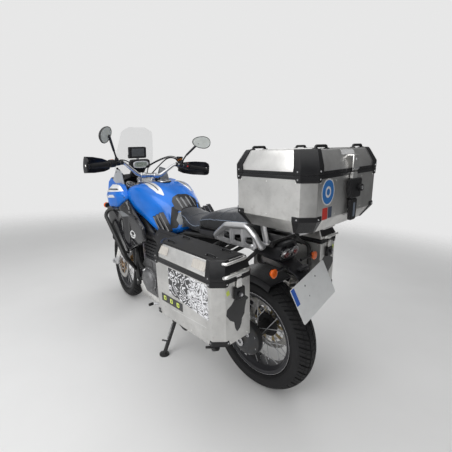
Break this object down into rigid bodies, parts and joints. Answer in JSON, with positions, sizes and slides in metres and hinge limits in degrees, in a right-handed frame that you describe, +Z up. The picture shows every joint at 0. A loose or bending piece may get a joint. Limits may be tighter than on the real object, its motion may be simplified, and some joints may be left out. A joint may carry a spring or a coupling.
{
  "type": "adventure motorcycle",
  "caption": "Shaft-drive adventure motorcycle with wire wheels, aluminium side cases and a top case, leaning on its side stand; wheels, steering, stands and lids move.",
  "frame": {"origin": "centre of the footprint box on the floor, the motorcycle leaning 5 degrees to its left on the side stand", "axes": "+X forward in the direction of travel, +Y to the rider's left, +Z up"},
  "size_m": [2.3071, 0.9602, 1.4329],
  "materials": {
    "tyre": "satin rubber",
    "rim_black": "semi-gloss black",
    "disc_steel": "ground",
    "axle_steel": "satin",
    "fork_metal": "satin",
    "bar_silver": "anodised",
    "black_plastic": "grained",
    "caliper_metal": "satin",
    "frame_black": "satin powder coat",
    "engine_grey": "cast, painted",
    "stainless": "brushed",
    "plate_alu": "brushed",
    "blue_paint": "gloss metallic",
    "silver_paint": "satin",
    "radiator_black": "fine fins, painted",
    "clear_screen": "clear",
    "lens": "clear moulded",
    "seat_cover": "grained vinyl",
    "case_alu": "brushed sheet"
  },
  "bodies": {
    "chassis": {"rear_axle": "axle_steel", "frame": "frame_black", "engine": "engine_grey", "exhaust": "stainless", "skid_plate": "plate_alu", "final_drive": "engine_grey", "swingarm": "engine_grey", "rear_shock": "frame_black", "rear_caliper": "caliper_metal", "hugger": "black_plastic", "fuel_tank": "blue_paint", "crash_bars": "frame_black", "radiator": "radiator_black", "side_cowls": "blue_paint", "side_scoops": "black_plastic", "headlight": "black_plastic", "front_cowl": "black_plastic", "tank_side_panels": "silver_paint", "windscreen": "clear_screen", "instrument_cluster": "black_plastic", "navigation_unit": "black_plastic", "passenger_seat": "seat_cover", "rider_seat": "seat_cover", "side_covers": "black_plastic", "tail_unit": "black_plastic", "tail_lamp": "lens", "indicators": "lens", "grab_rail": "silver_paint", "pannier_racks": "frame_black", "foot_pegs": "plate_alu", "passenger_pegs": "plate_alu", "foot_levers": "frame_black", "pannier_left": "case_alu", "pannier_right": "case_alu", "topcase": "case_alu"},
    "steering": {"fork": "fork_metal", "handlebar": "bar_silver", "bar_controls": "black_plastic", "hand_guards": "black_plastic", "mirrors": "black_plastic", "front_fender": "black_plastic", "front_calipers": "caliper_metal", "front_axle": "axle_steel"},
    "front_wheel": {"front_wheel": "rim_black", "front_tyre": "tyre", "front_discs": "disc_steel"},
    "rear_wheel": {"rear_wheel": "rim_black", "rear_tyre": "tyre", "rear_disc": "disc_steel"},
    "side_stand": {"side_stand": "frame_black"},
    "centre_stand": {"centre_stand": "frame_black"},
    "topcase_lid": {"topcase_lid": "case_alu"},
    "pannier_lid_left": {"pannier_lid_left": "case_alu"},
    "pannier_lid_right": {"pannier_lid_right": "case_alu"}
  },
  "joints": [
    {"name": "steering", "type": "hinge", "parent": "chassis", "child": "steering", "pos_m": [0.47994, 0.0014, 0.87987], "axis": [-0.4695, 0.077, 0.8796], "range_deg": [-25, 45]},
    {"name": "front_wheel_spin", "type": "hinge", "parent": "steering", "child": "front_wheel", "pos_m": [0.82283, -0.05438, 0.32838], "axis": [0.1533, 0.9882, -0.0046], "continuous": true},
    {"name": "rear_wheel_spin", "type": "hinge", "parent": "chassis", "child": "rear_wheel", "pos_m": [-0.71659, -0.04758, 0.32006], "axis": [0, 0.9962, -0.0872], "continuous": true},
    {"name": "side_stand_fold", "type": "hinge", "parent": "chassis", "child": "side_stand", "pos_m": [-0.21159, 0.15959, 0.23267], "axis": [0.0681, 0.9657, 0.2507], "range_deg": [0, 93.98]},
    {"name": "centre_stand_fold", "type": "hinge", "parent": "chassis", "child": "centre_stand", "pos_m": [-0.26659, -0.0569, 0.21347], "axis": [0, -0.9962, 0.0872], "range_deg": [0, 92], "stiffness_Nm_per_rad": 6, "springref_deg": -85.94},
    {"name": "topcase_lid_hinge", "type": "hinge", "parent": "chassis", "child": "topcase_lid", "pos_m": [-0.76959, 0.02729, 1.17579], "axis": [0, 0.9962, -0.0872], "range_deg": [0, 80]},
    {"name": "pannier_lid_left_hinge", "type": "hinge", "parent": "chassis", "child": "pannier_lid_left", "pos_m": [-0.40759, 0.33755, 0.75214], "axis": [0, 0.9962, -0.0872], "range_deg": [0, 88]},
    {"name": "pannier_lid_right_hinge", "type": "hinge", "parent": "chassis", "child": "pannier_lid_right", "pos_m": [-0.40759, -0.35182, 0.81245], "axis": [0, 0.9962, -0.0872], "range_deg": [0, 88]}
  ]
}
